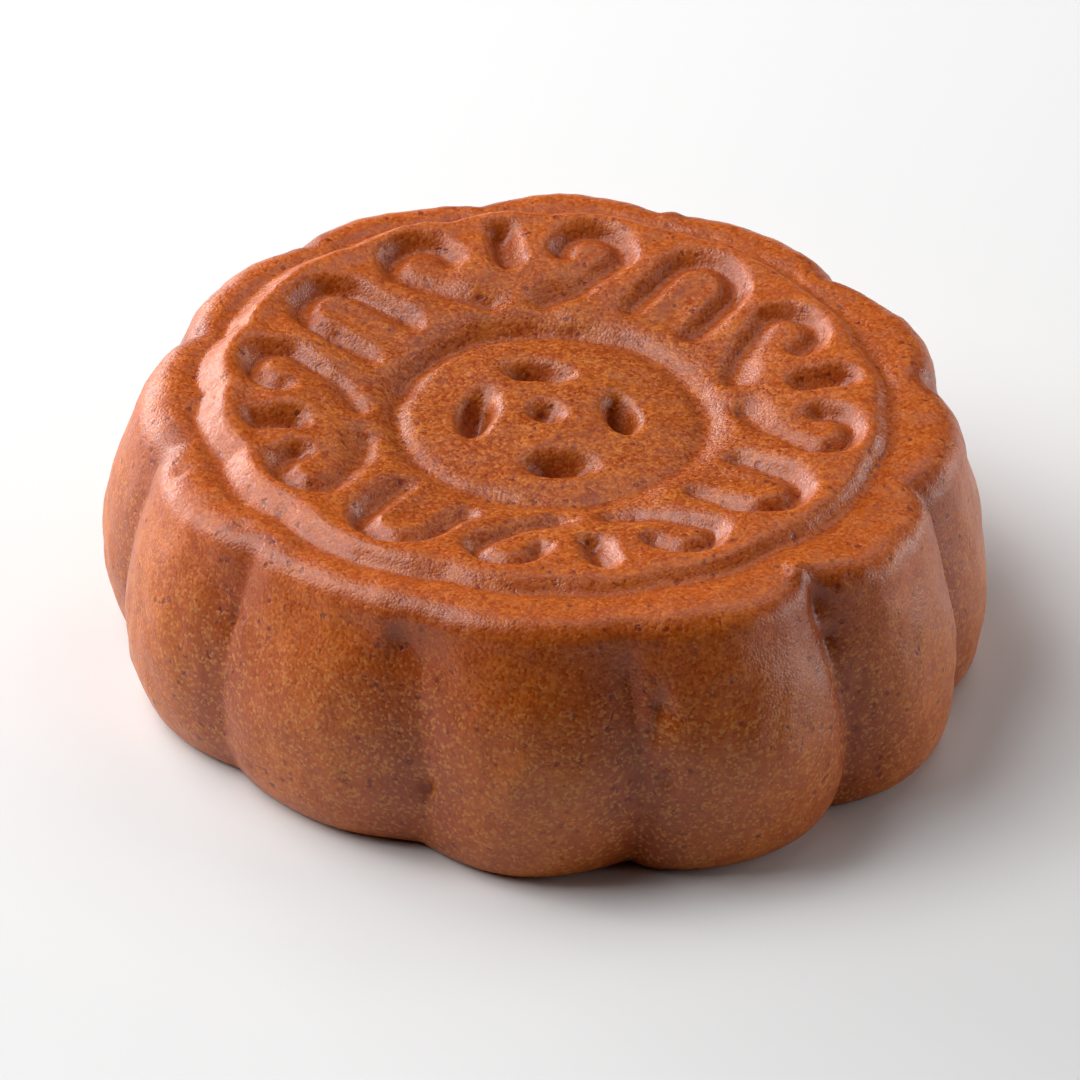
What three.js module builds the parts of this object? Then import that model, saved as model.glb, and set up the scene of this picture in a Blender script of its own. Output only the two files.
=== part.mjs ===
// A baked mooncake, one solid, in millimetres.
// It stands on the plane z = 0 with +Z up, centred on its own box, and its front is towards -Y.
// A twelve-lobed drum with a full belly carries a stamped top: a scalloped ring wall round a
// shallow dish, eight moulded motifs in a circle (four cloud heads with a slot between two curls,
// and four tongues in a U-shaped channel between them) and a low round boss with five dents.
import * as THREE from "three";

// ---- Driving dimensions, mm and degrees ------------------------------------------------------

const LEDGE_HEIGHT = 21.0; // table to the flat ledge round the stamped top
const WALL_RADIUS = 32.9; // foot of the rounded top edge, at the middle of a lobe
const EDGE_ROUND = 2.9; // radius of the rounded top edge
// The front has risen: by how much the ledge is higher, its edge less round, and the wall below it
// further in, straight ahead.
const FRONT = { angle: 270, puff: 0.8, crisp: 1.1, inward: 1.3 };
const BELLY_RADIUS = 35.0; // the widest place
const BELLY_HEIGHT = 7.7;
const FOOT_RADIUS = 31.8; // the flat base
const FOOT_FULLNESS = 0.415; // power of the foot's curve: the smaller, the squarer the foot

const GROOVE_SHARE = 0.055; // depth of the grooves between lobes, as a share of the radius
const FIRST_GROOVE = 192.5; // direction of groove 0; the others follow clockwise, evenly
// How soft each groove's bottom is, its depth as a share of a perfect one's, and its two banks,
// seen from outside: a small power makes a steep bank, a large one a gentle bank. The bow is how
// many degrees the groove swings to the right at the belly, and the top is the share of its depth
// that it has at the ledge.
const PLAIN = { soft: 0.06, depth: 1, left: 0.64, right: 0.64, bow: 0, top: 1 };
const GROOVES = [
  { soft: 0.1, depth: 1, left: 0.8, right: 0.6, bow: 0, top: 1 },
  { ...PLAIN, soft: 0.08 },
  PLAIN,
  PLAIN,
  PLAIN,
  PLAIN,
  PLAIN,
  { soft: 0.03, depth: 1, left: 0.38, right: 0.8, bow: 0, top: 1 },
  { soft: 0.04, depth: 1.05, left: 0.55, right: 0.9, bow: 3.8, top: 1 },
  { soft: 0.12, depth: 1.05, left: 1, right: 0.5, bow: 2.4, top: 0.45 },
  { soft: 0.05, depth: 1.4, left: 1.35, right: 1, bow: 2, top: 0.5 },
  { soft: 0.08, depth: 1.1, left: 1, right: 0.5, bow: 0, top: 0.85 },
];
const LOBES = GROOVES.length;
const BOW_POWER = 1.6; // the larger, the lower the place where the grooves swing out most
const GROOVE_START = 0.2; // share of the height over which a groove reaches its full depth
// How much further each lobe stands out than a perfect one, clockwise from groove 0: at the belly
// and at the ledge, and the share of the height over which one turns into the other.
const LOBE_SWELL = [0.1, -0.2, -0.2, -0.3, -0.2, 0.1, 0.1, 0.5, 0.7, -0.1, -1.2, -0.2];
const TOP_SWELL = [0.1, -0.2, -0.2, -0.3, -0.2, 0.1, 0.1, 0.5, 0.1, -0.2, -1.2, -0.2];
const SWELL_START = 0.5;

const TOP_SHIFT = { x: -0.5, y: 0.2 }; // the top leans a little off the foot
const BELLY_SHIFT = { x: -0.4, y: -0.5 }; // and the belly sags towards the front

// Height of the stamped dish over the ledge plane, outwards from the centre: [radius, height].
const DISH = [
  [0, -0.45],
  [8.5, -0.7],
  [11.0, -0.95], // edge of the boss
  [12.3, -1.3],
  [14.4, -0.4],
  [18.0, 0.15],
  [22.5, 0.85],
];
const DISH_BLUR = 0.6; // how far to both sides the heights are eased into each other
// Crease round the boss; it is deepest towards one side.
const CREASE = { radius: 12.2, width: 0.75, mean: 0.35, more: 0.3, angle: 125 };
const DISH_RISE = 0.5; // share of the front's puff that the dish takes part in
const PUFF_START = 14; // radius where the puff of the front begins, and how far it takes to rise
const PUFF_REACH = 12;
const PATTERN_SHIFT = { x: 0, y: 0.64 }; // middle of ring wall and motifs, off the drum's top

// The ring wall: its foot, the scallops of the foot, and its crest. The wall is highest towards
// one side, and widest towards another: mean value, how much more there, and the direction.
const RIM = { radius: 27.35, shiftX: -0.75, shiftY: 0.3, oval: 0.2 };
const SCALLOP = { mean: 0.5, more: 0.3, angle: 180, soft: 0.3, fullness: 0.6 };
const RIM_CUSPS = [-28.3, -9.5, 9.5, 28.3, 61.7]; // round one cloud head, degrees from its axis
const CREST = { mean: 1.15, more: 0.3, angle: 200 };
const RIM_SLOPE = { mean: 1.9, more: 0.5, angle: 165 };
const RIM_INNER_SLOPE = 1.9;
const CHANNEL = { depth: 0.3, halfWidth: 0.8 };

// The motifs, in a frame of their own: outwards from the middle, and sideways. A channel's wall
// falls softly over its inner and its outer reach; its depth fades from the outer end to the legs.
const MOTIF = { firstAngle: 11.2, count: 8, depth: 1.5 };
const LEGS = { share: 0.72, from: 15, reach: 7 };
const SQUEEZE = { angle: 290, most: 1.3 }; // how far the outer ends stand in towards one side
const WALLS = { halfWidth: 0.7, outer: 0.95, curlInner: 1.6, tongueInner: 1.3 };
const HEAD = { share: 0.25, halfWidth: 1.5, soft: 1.3 }; // sunk heads of curls and tongues
const SLOT = { from: 20.4, to: 23.4, halfWidth: 0.95, soft: 0.95 };
const CURL = { radius: 20.3, side: 6.9, round: 2.45, from: -78, to: 115 };
const CURL_TAIL = [
  [16.2, 5.2],
  [15.2, 2.2],
];
const TONGUE = { from: 15.8, to: 20.7, side: 2.95 };

// Dents of the boss: centre, half length, half width, direction of the long axis, depth.
const DENTS = [
  { x: -5.8, y: -0.1, length: 3.4, width: 1.4, turn: 79, depth: 3.0 },
  { x: 5.5, y: 0.4, length: 2.8, width: 1.35, turn: 100, depth: 3.0 },
  { x: -1.2, y: 5.8, length: 2.8, width: 1.5, turn: 172, depth: 2.4 },
  { x: 0.9, y: -6.8, length: 3.0, width: 1.7, turn: 6, depth: 2.8 },
  { x: -0.5, y: 0.1, length: 1.7, width: 1.6, turn: 0, depth: 1.6 },
];
const DENT_REACH = 1.25; // how far a dent's edge fades out, in half lengths and half widths

// Fineness of the mesh.
const BOSS_RADIUS = 11;
const BOSS_STEP = 1.15; // between rings on the boss
const RELIEF_STEP = 0.85; // between rings and points on the stamped ring
const SIDE_COLUMNS = 120;
const LOBED_FROM = 0.82; // share of the ledge's radius where the rings turn from round to lobed
const LEDGE_FROM = 0.95; // and where they are wholly flat
const SIDE_ROWS = { edge: 4, upper: 4, foot: 5 };

const CRUST = { color: 0xaa5521, roughness: 0.45, metalness: 0 };

// ---- Small helpers ---------------------------------------------------------------------------

const RAD = Math.PI / 180;
const TURN = 2 * Math.PI;

const clamp = (value) => Math.min(1, Math.max(0, value));
const smooth = (value) => {
  const t = clamp(value);
  return t * t * (3 - 2 * t);
};

// A height read from a list of [place, height], with straight steps between them.
function along(list, place) {
  for (let i = 1; i < list.length; i++) {
    const [x0, y0] = list[i - 1];
    const [x1, y1] = list[i];
    if (place <= x1) return y0 + ((y1 - y0) * (place - x0)) / (x1 - x0);
  }
  return list[list.length - 1][1];
}

// How close a direction, in radians, is to one in degrees: 1 there, -1 opposite.
const facing = (angle, degrees) => Math.cos(angle - degrees * RAD);

// A level that has a mean value, and is more towards one side and less towards the other.
const towards = (level, angle) => level.mean + level.more * facing(angle, level.angle);

// Distance from a point to a chain of straight pieces, and whether the point lies left of it.
function fromChain(x, y, chain) {
  let away = Infinity;
  let left = false;
  for (let i = 1; i < chain.length; i++) {
    const [ax, ay] = chain[i - 1];
    const dx = chain[i][0] - ax;
    const dy = chain[i][1] - ay;
    const t = clamp(((x - ax) * dx + (y - ay) * dy) / (dx * dx + dy * dy));
    const distance = Math.hypot(x - ax - t * dx, y - ay - t * dy);
    if (distance < away) {
      away = distance;
      left = dx * (y - ay) - dy * (x - ax) > 0;
    }
  }
  return { away, left };
}

// Points of an arc, angles in degrees, in a motif's own frame: outwards, sideways.
function arc(out, side, radius, from, to, pieces = 8) {
  return Array.from({ length: pieces + 1 }, (_, i) => {
    const angle = (from + ((to - from) * i) / pieces) * RAD;
    return [out + radius * Math.cos(angle), side + radius * Math.sin(angle)];
  });
}

// ---- The lobed outline -----------------------------------------------------------------------

// An arch from 0 to 1 and back over a place from 0 to 1, with a soft start and end.
const arched = (part, soft, fullness) =>
  ((Math.hypot(Math.sin(Math.PI * part), soft) - soft) / (Math.hypot(1, soft) - soft)) ** fullness;

// A place from 0 up to the number of lobes, clockwise from groove 0, brought into that span.
const wrapped = (place) => ((place % LOBES) + LOBES) % LOBES;

// A round radius turned into the lobed one at a height over the base.
function lobed(radius, angle, height) {
  const even = wrapped(((FIRST_GROOVE * RAD - angle) / TURN) * LOBES);
  const { bow } = GROOVES[Math.floor(even)];
  const { bow: nextBow } = GROOVES[(Math.floor(even) + 1) % LOBES];
  const down = 1 - clamp(height / LEDGE_HEIGHT);
  const swing = Math.sin(Math.PI * down ** BOW_POWER) / (360 / LOBES);
  const place = wrapped(even + (bow + (nextBow - bow) * (even % 1)) * swing);
  const lobe = Math.floor(place);
  const part = place - lobe;
  const groove = GROOVES[part < 0.5 ? lobe : (lobe + 1) % LOBES];
  const arch = arched(part, groove.soft, part < 0.5 ? groove.left : groove.right);
  const depth = groove.depth * (groove.top + (1 - groove.top) * smooth(down / GROOVE_START));
  const more = (LOBE_SWELL[lobe] - TOP_SWELL[lobe]) * smooth(down / SWELL_START);
  return radius * (1 - GROOVE_SHARE * depth * (1 - arch)) + (TOP_SWELL[lobe] + more) * arch;
}

// How much a direction belongs to the front, 0 to 1, and what the front does to the edge.
const front = (angle) => Math.max(0, facing(angle, FRONT.angle)) ** 2;
const puffAt = (angle) => FRONT.puff * front(angle);
const edgeRound = (angle) => EDGE_ROUND - FRONT.crisp * front(angle);
const wallRadius = (angle) => WALL_RADIUS - FRONT.inward * front(angle);

// How far the axis of the cake lies off the foot's at a height.
function leanAt(height) {
  const up = height / LEDGE_HEIGHT;
  const belly = 4 * up * (1 - up);
  return {
    x: TOP_SHIFT.x * up + BELLY_SHIFT.x * belly,
    y: TOP_SHIFT.y * up + BELLY_SHIFT.y * belly,
  };
}

// ---- The stamped top -------------------------------------------------------------------------

// Channels of one cloud head, whose curl is mirrored to its other side, and of one tongue.
const CLOUD = [
  {
    line: [...arc(CURL.radius, CURL.side, CURL.round, CURL.from, CURL.to), ...CURL_TAIL],
    halfWidth: WALLS.halfWidth,
    outer: WALLS.outer,
    inner: WALLS.curlInner,
    share: 1,
  },
  {
    line: [[CURL.radius, CURL.side], CURL_TAIL[0]],
    halfWidth: HEAD.halfWidth,
    outer: HEAD.soft,
    inner: HEAD.soft,
    share: HEAD.share,
  },
  {
    line: [
      [SLOT.from, 0],
      [SLOT.to, 0],
    ],
    halfWidth: SLOT.halfWidth,
    outer: SLOT.soft,
    inner: SLOT.soft,
    share: 1,
  },
];
const TONGUE_CHANNELS = [
  {
    line: [
      [TONGUE.from, -TONGUE.side],
      ...arc(TONGUE.to, 0, TONGUE.side, -90, 90),
      [TONGUE.from, TONGUE.side],
    ],
    halfWidth: WALLS.halfWidth,
    outer: WALLS.outer,
    inner: WALLS.tongueInner,
    share: 1,
  },
  {
    line: [
      [TONGUE.from, 0],
      [TONGUE.to, 0],
    ],
    halfWidth: HEAD.halfWidth,
    outer: HEAD.soft,
    inner: HEAD.soft,
    share: HEAD.share,
  },
];

// How deep a channel is at a place of the motif's frame, 0 to 1.
function inChannel(channel, out, side) {
  const { away, left } = fromChain(out, side, channel.line);
  const soft = left ? channel.inner : channel.outer;
  return channel.share * (1 - smooth((away - channel.halfWidth + soft) / (2 * soft)));
}

// Depth of the motifs at a place measured from the middle of the pattern.
function motifDepth(x, y) {
  const reach = Math.cos(TURN / MOTIF.count); // no motif passes the axis of the next one
  const turn = Math.atan2(y, x);
  let depth = 0;
  for (let i = 0; i < MOTIF.count; i++) {
    const isTongue = i % 2 === 1;
    const angle = (MOTIF.firstAngle + (i * 360) / MOTIF.count) * RAD;
    if (Math.cos(turn - angle) < reach) continue;
    const even = x * Math.cos(angle) + y * Math.sin(angle);
    const side = y * Math.cos(angle) - x * Math.sin(angle);
    const outer = smooth((even - LEGS.from) / LEGS.reach);
    const share = LEGS.share + (1 - LEGS.share) * outer;
    const out = even + SQUEEZE.most * Math.max(0, facing(angle, SQUEEZE.angle)) ** 2 * outer;
    for (const channel of isTongue ? TONGUE_CHANNELS : CLOUD) {
      depth = Math.max(depth, share * inChannel(channel, out, isTongue ? side : Math.abs(side)));
    }
  }
  return depth * MOTIF.depth;
}

function dentDepth(x, y) {
  let depth = 0;
  for (const dent of DENTS) {
    const turn = dent.turn * RAD;
    const dx = x - dent.x;
    const dy = y - dent.y;
    const long = (dx * Math.cos(turn) + dy * Math.sin(turn)) / dent.length;
    const across = (dy * Math.cos(turn) - dx * Math.sin(turn)) / dent.width;
    depth = Math.max(depth, dent.depth * (1 - smooth(Math.hypot(long, across) / DENT_REACH)));
  }
  return depth;
}

// Height of the scallops of the ring wall's foot in a direction, 0 in a cusp.
function petalAt(angle) {
  const first = RIM_CUSPS[0];
  const quarter = (((angle / RAD - MOTIF.firstAngle - first) % 90) + 180) % 90;
  let i = 1;
  while (quarter + first > RIM_CUSPS[i] && i < RIM_CUSPS.length - 1) i++;
  const part = (quarter + first - RIM_CUSPS[i - 1]) / (RIM_CUSPS[i] - RIM_CUSPS[i - 1]);
  return arched(part, SCALLOP.soft, SCALLOP.fullness);
}

// Height of the dish over the ledge plane, at a distance from the middle and in a direction.
function dishAt(radius, angle) {
  const steps = [-1, -0.5, 0, 0.5, 1];
  const heights = steps.map((step) => along(DISH, Math.max(0, radius + step * DISH_BLUR)));
  const eased = heights.reduce((sum, height) => sum + height, 0) / steps.length;
  const inCrease = Math.exp(-(((radius - CREASE.radius) / CREASE.width) ** 2));
  return eased - towards(CREASE, angle) * inCrease;
}

// Height over the ledge plane at a place measured from the middle of the drum's top.
function reliefAt(x, y) {
  const px = x - PATTERN_SHIFT.x;
  const py = y - PATTERN_SHIFT.y;
  const angle = Math.atan2(py, px);
  const radius = Math.hypot(px, py);
  const shift = RIM.shiftX * Math.cos(angle) + RIM.shiftY * Math.sin(angle);
  const round = RIM.radius + shift + RIM.oval * Math.cos(2 * angle);
  const foot = round - towards(SCALLOP, angle) * (1 - petalAt(angle));
  const slope = towards(RIM_SLOPE, angle);
  const crestHeight = towards(CREST, angle);
  const crest = foot - slope;
  const puff = puffAt(angle) * smooth((radius - PUFF_START) / PUFF_REACH);
  if (radius >= crest) {
    const channel = CHANNEL.depth * Math.exp(-(((radius - foot) / CHANNEL.halfWidth) ** 2));
    return crestHeight + (puff - crestHeight) * smooth((radius - crest) / slope) - channel;
  }
  const floor = dishAt(Math.hypot(x, y), angle) + DISH_RISE * puff;
  const wall = smooth((radius - crest) / RIM_INNER_SLOPE + 1);
  return floor + (crestHeight - floor) * wall - motifDepth(px, py) - dentDepth(x, y);
}

// ---- The mesh: rings from the middle of the top, out, down and under to the base ---------------

const points = [];
const faces = [];

// A ring of points, given as a function of the direction.
function addRing(count, pointAt) {
  const first = points.length / 3;
  for (let i = 0; i < count; i++) {
    const angle = (TURN * i) / count + FIRST_GROOVE * RAD;
    points.push(...pointAt(angle));
  }
  return { first, count };
}

const gapBetween = (a, b) =>
  Math.hypot(
    points[3 * a] - points[3 * b],
    points[3 * a + 1] - points[3 * b + 1],
    points[3 * a + 2] - points[3 * b + 2],
  );

// Triangles between two rings that may have different numbers of points. Of the two edges that
// can come next, the shorter one is taken, so that the edges follow ridges and channels.
function stitch(upper, lower) {
  const reach = 1.5 / Math.min(upper.count, lower.count);
  let i = 0;
  let j = 0;
  while (i < upper.count || j < lower.count) {
    const a = upper.first + (i % upper.count);
    const b = lower.first + (j % lower.count);
    const nextA = upper.first + ((i + 1) % upper.count);
    const nextB = lower.first + ((j + 1) % lower.count);
    const lead = (i + 1) / upper.count - (j + 1) / lower.count;
    let takeUpper = gapBetween(nextA, b) < gapBetween(a, nextB);
    if (lead > reach / 2 || i === upper.count) takeUpper = false;
    else if (lead < -reach / 2 || j === lower.count) takeUpper = true;
    if (takeUpper) {
      faces.push(a, b, nextA);
      i++;
    } else {
      faces.push(a, b, nextB);
      j++;
    }
  }
}

function addPole(x, y, z) {
  points.push(x, y, z);
  return points.length / 3 - 1;
}

// A point of the top at a share of the way from the middle to the start of the rounded edge.
function topPoint(share, angle) {
  const roundRadius = share * (wallRadius(angle) - edgeRound(angle));
  const toLobes = smooth((share - LOBED_FROM) / (1 - LOBED_FROM));
  const radius = roundRadius + (lobed(roundRadius, angle, LEDGE_HEIGHT) - roundRadius) * toLobes;
  const x = radius * Math.cos(angle);
  const y = radius * Math.sin(angle);
  const relief = reliefAt(x, y);
  const ledge = smooth((share - LEDGE_FROM) / (1 - LEDGE_FROM));
  const height = relief + (puffAt(angle) - relief) * ledge;
  return [x + TOP_SHIFT.x, y + TOP_SHIFT.y, LEDGE_HEIGHT + height];
}

// Outline of the side, as a round radius and a height, at a share of one of its three parts.
const QUARTER = Math.PI / 2;
const SIDE = {
  edge(t, angle) {
    const round = edgeRound(angle);
    const out = wallRadius(angle) - round * (1 - Math.sin(t * QUARTER));
    return [out, LEDGE_HEIGHT - round * (1 - Math.cos(t * QUARTER))];
  },
  upper(t, angle) {
    const wallTop = LEDGE_HEIGHT - edgeRound(angle);
    const wall = wallRadius(angle);
    const out = wall + (BELLY_RADIUS - wall) * Math.sin(t * QUARTER);
    return [out, wallTop + (BELLY_HEIGHT - wallTop) * t];
  },
  foot(t) {
    const out = t < 1 ? Math.cos(t * QUARTER) ** FOOT_FULLNESS : 0;
    return [
      FOOT_RADIUS + (BELLY_RADIUS - FOOT_RADIUS) * out,
      BELLY_HEIGHT * (1 - Math.sin(t * QUARTER)),
    ];
  },
};

function sidePoint(part, t, angle) {
  const [radius, flatHeight] = SIDE[part](t, angle);
  const height = flatHeight * (1 + puffAt(angle) / LEDGE_HEIGHT);
  const r = lobed(radius, angle, height);
  const lean = leanAt(height);
  return [r * Math.cos(angle) + lean.x, r * Math.sin(angle) + lean.y, height];
}

function buildMooncake() {
  const flatRadius = WALL_RADIUS - EDGE_ROUND;
  const radii = [];
  for (let r = BOSS_STEP; r < BOSS_RADIUS; r += BOSS_STEP) radii.push(r);
  for (let r = BOSS_RADIUS; r < flatRadius - RELIEF_STEP / 2; r += RELIEF_STEP) radii.push(r);
  radii.push(flatRadius);

  const centre = addPole(...topPoint(0, 0));
  const rings = radii.map((r) => {
    const step = r < BOSS_RADIUS ? BOSS_STEP : RELIEF_STEP;
    const wanted = LOBES * Math.max(1, Math.round((TURN * r) / step / LOBES));
    const count = r > flatRadius * LEDGE_FROM ? SIDE_COLUMNS : wanted;
    return addRing(count, (angle) => topPoint(r / flatRadius, angle));
  });
  for (const [part, rows] of Object.entries(SIDE_ROWS)) {
    for (let i = 1; i <= rows; i++) {
      rings.push(addRing(SIDE_COLUMNS, (angle) => sidePoint(part, i / rows, angle)));
    }
  }
  const base = addPole(0, 0, 0);

  const first = rings[0];
  const last = rings[rings.length - 1];
  for (let i = 0; i < first.count; i++) {
    faces.push(centre, first.first + i, first.first + ((i + 1) % first.count));
  }
  for (let i = 1; i < rings.length; i++) stitch(rings[i - 1], rings[i]);
  for (let i = 0; i < last.count; i++) {
    faces.push(base, last.first + ((i + 1) % last.count), last.first + i);
  }

  const geometry = new THREE.BufferGeometry();
  geometry.setAttribute("position", new THREE.Float32BufferAttribute(points, 3));
  geometry.setIndex(faces);
  geometry.computeBoundingBox();
  const middle = geometry.boundingBox.getCenter(new THREE.Vector3());
  geometry.translate(-middle.x, -middle.y, -geometry.boundingBox.min.z);
  geometry.computeVertexNormals();
  const mesh = new THREE.Mesh(geometry, new THREE.MeshStandardMaterial(CRUST));
  mesh.name = "mooncake";
  return mesh;
}

const cake = new THREE.Group();
cake.name = "cake";
cake.add(buildMooncake());

export default cake;
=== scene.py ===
"""A baked mooncake: a lobed drum of brown crust with a moulded top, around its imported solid.

Sizes are in millimetres and angles in degrees until a mesh, a light or a camera is made, which
is in metres. Directions round the cake are measured anticlockwise from +X, seen from above.
"""

import logging
import math
from dataclasses import dataclass
from enum import Enum
from typing import Callable, Optional, Union

import bmesh
import bpy
import numpy as np
from mathutils import Matrix, Vector, noise


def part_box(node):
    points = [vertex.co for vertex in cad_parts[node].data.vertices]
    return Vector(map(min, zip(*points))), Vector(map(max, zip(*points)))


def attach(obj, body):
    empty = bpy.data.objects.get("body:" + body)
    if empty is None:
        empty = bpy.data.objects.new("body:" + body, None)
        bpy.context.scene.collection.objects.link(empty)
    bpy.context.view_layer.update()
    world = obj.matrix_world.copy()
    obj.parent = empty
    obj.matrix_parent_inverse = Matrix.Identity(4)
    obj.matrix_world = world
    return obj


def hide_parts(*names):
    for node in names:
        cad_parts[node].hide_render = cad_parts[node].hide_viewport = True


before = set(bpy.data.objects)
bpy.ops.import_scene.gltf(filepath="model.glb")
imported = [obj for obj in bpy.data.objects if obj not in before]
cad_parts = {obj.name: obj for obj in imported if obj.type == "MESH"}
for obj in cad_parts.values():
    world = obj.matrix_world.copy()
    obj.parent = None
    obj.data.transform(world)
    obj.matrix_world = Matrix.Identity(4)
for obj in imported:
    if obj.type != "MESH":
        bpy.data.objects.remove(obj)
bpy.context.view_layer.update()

MM = 0.001
NODE = "mooncake"
SLOT = "baked_crust"
LOG = logging.getLogger("mooncake")

Array = np.ndarray
Socket = bpy.types.NodeSocket
Value = Union[Socket, float, tuple]

ARC_POINTS = 13
# sockets of a Mix node that mixes colours: its factor and two colours, and the mixed colour
MIX_INPUTS = (0, 6, 7)
MIX_OUTPUT = 2


def smooth(value: Array) -> Array:
    """Ease from 0 to 1 with level ends.

    Args:
        value: numbers of any size; below 0 gives 0 and above 1 gives 1.

    Returns:
        The eased numbers.
    """
    t = np.clip(value, 0.0, 1.0)
    return t * t * (3.0 - 2.0 * t)


def rising(value: Array, start: float, reach: float) -> Array:
    """Ease from 0 at a start to 1 at a reach beyond it."""
    return smooth((value - start) / reach)


def facing(angle: Array, degrees: float) -> Array:
    """Cosine between directions, in radians, and one direction, in degrees."""
    return np.cos(angle - math.radians(degrees))


def towards(angle: Array, mean: float, more: float, degrees: float) -> Array:
    """A level that is higher in one direction and lower opposite to it.

    Args:
        angle: directions in radians.
        mean: the level across that direction.
        more: how much more it is there.
        degrees: the direction.

    Returns:
        Levels.
    """
    return mean + more * facing(angle, degrees)


def arc(out: float, side: float, radius: float, start: float, end: float) -> list:
    """Points of an arc in a motif's own frame.

    Args:
        out: place of the arc's centre, away from the middle of the cake.
        side: place of the centre, to the left of the motif's axis.
        radius: radius of the arc.
        start: first angle, in degrees from the outward axis.
        end: last angle.

    Returns:
        A list of (out, side) points.
    """
    angles = np.radians(np.linspace(start, end, ARC_POINTS))
    return [(out + radius * math.cos(a), side + radius * math.sin(a)) for a in angles]


def chain_distance(x: Array, y: Array, chain: list) -> tuple:
    """Distance from places to a chain of straight pieces.

    Args:
        x: outward places.
        y: sideways places.
        chain: the chain's points.

    Returns:
        The distance from each place to its nearest piece, and whether it lies left of it.
    """
    nearest = np.full(np.shape(x), np.inf)
    left = np.zeros(np.shape(x), dtype=bool)
    for (ax, ay), (bx, by) in zip(chain[:-1], chain[1:]):
        dx, dy = bx - ax, by - ay
        t = np.clip(((x - ax) * dx + (y - ay) * dy) / (dx * dx + dy * dy), 0.0, 1.0)
        away = np.hypot(x - ax - t * dx, y - ay - t * dy)
        left = np.where(away < nearest, dx * (y - ay) - dy * (x - ax) > 0, left)
        nearest = np.minimum(nearest, away)
    return nearest, left


def read_places(mesh: bpy.types.Mesh) -> Array:
    """Read where a mesh's vertices are.

    Args:
        mesh: the mesh, in object mode.

    Returns:
        Rows of x, y and z in metres.
    """
    places = np.empty(len(mesh.vertices) * 3)
    mesh.vertices.foreach_get("co", places)
    return places.reshape(-1, 3)


def write_places(mesh: bpy.types.Mesh, places: Array) -> None:
    """Move a mesh's vertices to rows of x, y and z in metres."""
    mesh.vertices.foreach_set("co", places.ravel())
    mesh.update()


def pick_edges(mesh: bpy.types.Mesh, wanted: Callable) -> None:
    """Select some edges of a mesh that is being edited.

    Args:
        mesh: the mesh, in edit mode and edge selection.
        wanted: says of an edge whether it is picked.
    """
    bpy.ops.mesh.select_all(action="DESELECT")
    shape = bmesh.from_edit_mesh(mesh)
    for edge in shape.edges:
        if wanted(edge):
            edge.select_set(True)
    shape.select_flush_mode()
    bmesh.update_edit_mesh(mesh)


@dataclass(frozen=True)
class Groove:
    """One groove between two lobes of the side.

    Left and right are seen from outside. A small power makes a steep bank on that side of the
    groove, and a large one a gentle bank. The bow is how many degrees the groove swings to the
    right at the belly, and the top is the share of its depth that it has at the ledge.
    """

    softness: float = 0.06
    depth: float = 1.0
    left: float = 0.64
    right: float = 0.64
    bow: float = 0.0
    top: float = 1.0


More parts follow.
